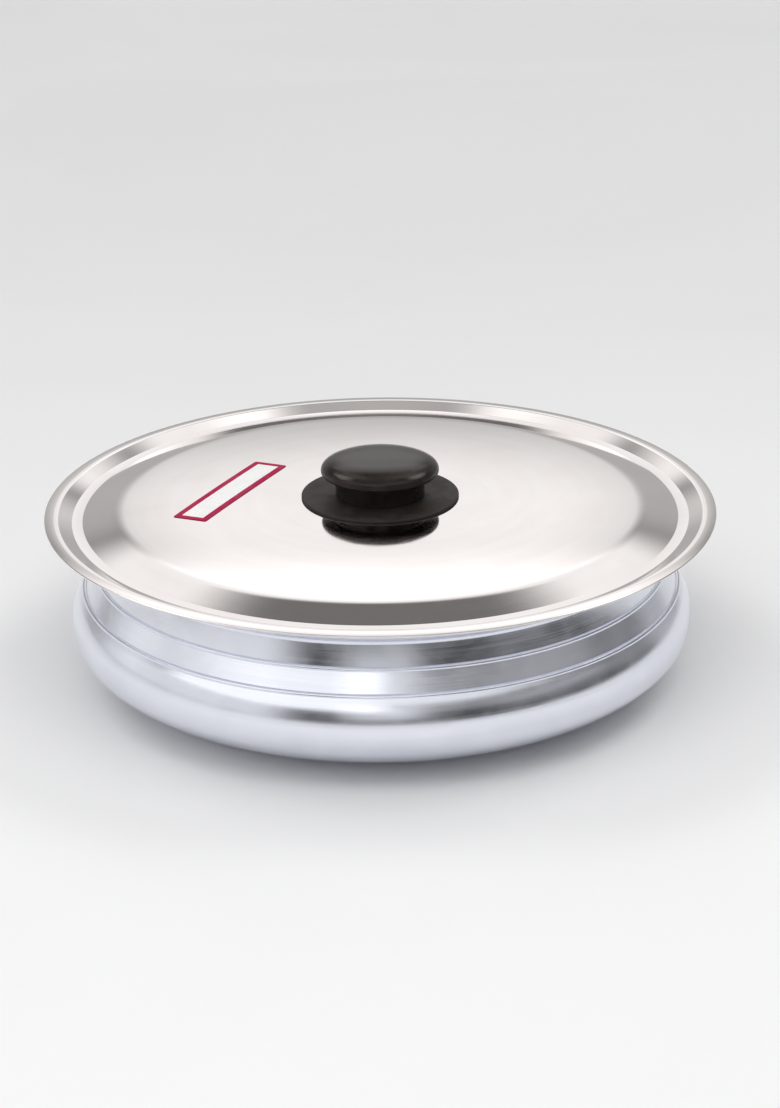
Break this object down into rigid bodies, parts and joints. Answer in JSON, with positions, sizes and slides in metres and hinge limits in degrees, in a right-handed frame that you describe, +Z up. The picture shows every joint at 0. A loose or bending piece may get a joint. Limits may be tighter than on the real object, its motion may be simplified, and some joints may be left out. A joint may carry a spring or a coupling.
{
  "type": "lidded handi pot",
  "caption": "Shallow round cooking pot with bulging belly, narrow neck and flared lip, and a stepped metal lid that nests in the lip and lifts off by a clamped round knob.",
  "frame": {"origin": "centre of the flat base, on the surface that the pot stands on", "axes": "+Z up along the axis of the pot and lid; the picture's side faces -Y, and +X is to its right"},
  "size_m": [0.26, 0.26, 0.0861],
  "materials": {
    "spun_aluminium": "satin, with fine spin lines round the axis",
    "polished_steel": "mirror polished",
    "matt_phenolic": "matt moulded black",
    "satin_phenolic": "satin moulded black",
    "insert_brass": "turned",
    "plated_steel": "bright zinc plated",
    "label_paper": "gloss coated, with a plain crimson border"
  },
  "bodies": {
    "pot": {"pot_body": "spun_aluminium"},
    "lid": {"lid_pan": "polished_steel", "heat_guard_disc": "matt_phenolic", "knob": "satin_phenolic", "knob_insert": "insert_brass", "knob_screw": "plated_steel", "plain_washer": "plated_steel", "spring_washer": "plated_steel", "lid_label": "label_paper"}
  },
  "joints": [
    {"name": "lid_lift", "type": "slide", "parent": "pot", "child": "lid", "axis": [0, 0, 1], "range_m": [0, 0.15]}
  ]
}
